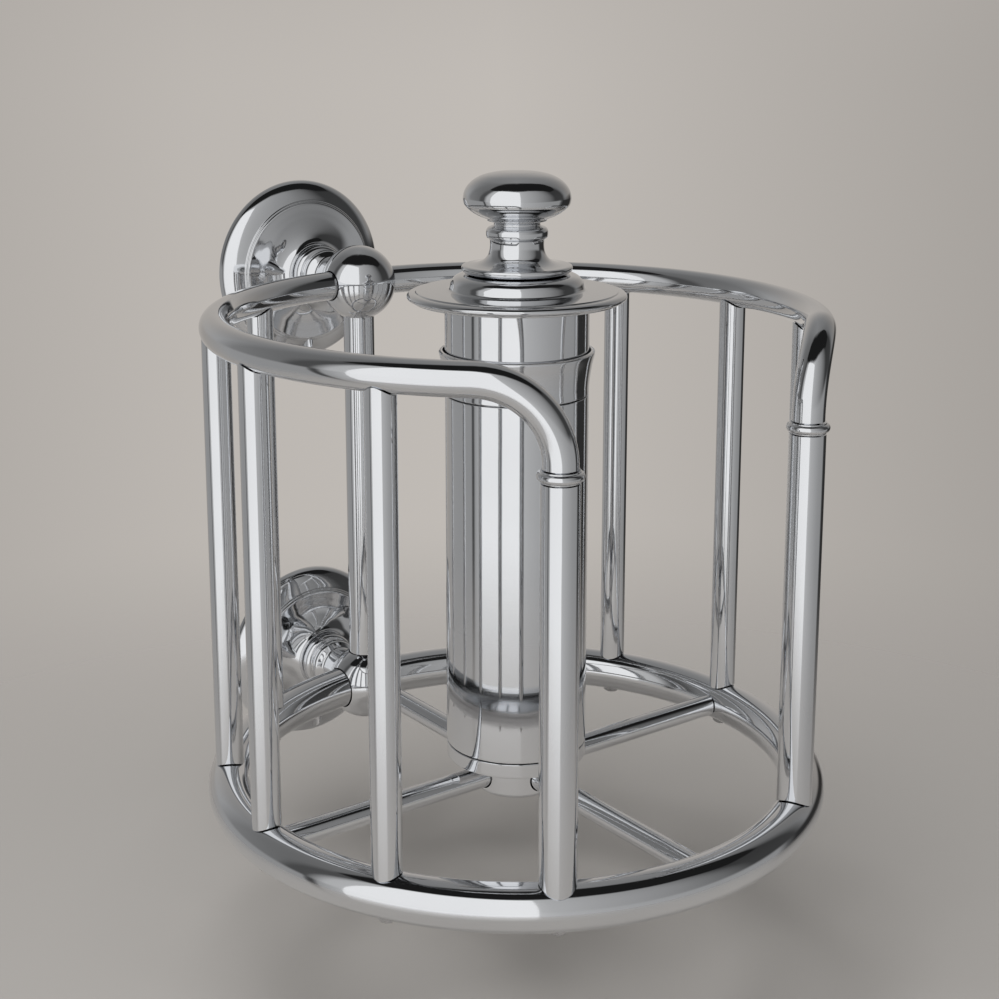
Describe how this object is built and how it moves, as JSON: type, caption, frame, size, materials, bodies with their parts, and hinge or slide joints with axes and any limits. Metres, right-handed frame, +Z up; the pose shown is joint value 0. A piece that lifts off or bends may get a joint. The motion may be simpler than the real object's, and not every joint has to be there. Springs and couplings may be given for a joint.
{
  "type": "toilet roll holder",
  "caption": "Wall-hung cage for an upright toilet roll: an open hoop rail on upright bars over a crossed base ring, with a central arbor, a lift-out turned cap and round wall mounts.",
  "frame": {"origin": "centre of the upper wall plate's back face, on the wall, level with the top rail's centre line", "axes": "+Z up, +Y into the wall, the cage's open front faces -Y"},
  "size_m": [0.172, 0.202, 0.1962],
  "materials": {
    "polished_chrome": "mirror-polished chrome plate on brass",
    "plain_steel": "satin steel of screws, wall plates and guide",
    "black_rubber": "matt black seal"
  },
  "bodies": {
    "cage": {"top_rail": "polished_chrome", "collar_left": "polished_chrome", "collar_right": "polished_chrome", "front_post_left": "polished_chrome", "front_post_right": "polished_chrome", "back_post": "polished_chrome", "left_bar_1": "polished_chrome", "left_bar_2": "polished_chrome", "left_bar_3": "polished_chrome", "left_bar_4": "polished_chrome", "right_bar_1": "polished_chrome", "right_bar_2": "polished_chrome", "right_bar_3": "polished_chrome", "right_bar_4": "polished_chrome", "bottom_ring": "polished_chrome", "front_rod": "polished_chrome", "back_rod": "polished_chrome", "left_rod": "polished_chrome", "right_rod": "polished_chrome", "hub": "polished_chrome", "arbor_foot": "polished_chrome", "arbor_tube": "polished_chrome", "arbor_cuff": "polished_chrome", "upper_rosette": "polished_chrome", "upper_arm": "polished_chrome", "upper_ball": "polished_chrome", "lower_rosette": "polished_chrome", "lower_arm": "polished_chrome", "lower_ball": "polished_chrome", "upper_wall_plate": "plain_steel", "upper_rosette_screw": "plain_steel", "lower_wall_plate": "plain_steel", "lower_rosette_screw": "plain_steel", "left_bar_1_screw": "plain_steel", "left_bar_2_screw": "plain_steel", "left_bar_3_screw": "plain_steel", "left_bar_4_screw": "plain_steel", "right_bar_1_screw": "plain_steel", "right_bar_2_screw": "plain_steel", "right_bar_3_screw": "plain_steel", "right_bar_4_screw": "plain_steel", "front_post_left_screw": "plain_steel", "front_post_right_screw": "plain_steel", "back_post_screw": "plain_steel", "hub_screw": "plain_steel"},
    "seal": {"cap_seal": "black_rubber"},
    "cap": {"cap_skirt": "polished_chrome", "cap_disc": "polished_chrome", "cap_knob": "polished_chrome", "cap_guide": "plain_steel", "cap_tie_screw": "plain_steel"}
  },
  "joints": [
    {"name": "cap_lift", "type": "slide", "parent": "cage", "child": "seal", "axis": [0, 0, 1], "range_m": [0, 0.032]},
    {"name": "cap_turn", "type": "hinge", "parent": "seal", "child": "cap", "pos_m": [0, -0.116, 0], "axis": [0, 0, 1], "continuous": true}
  ]
}
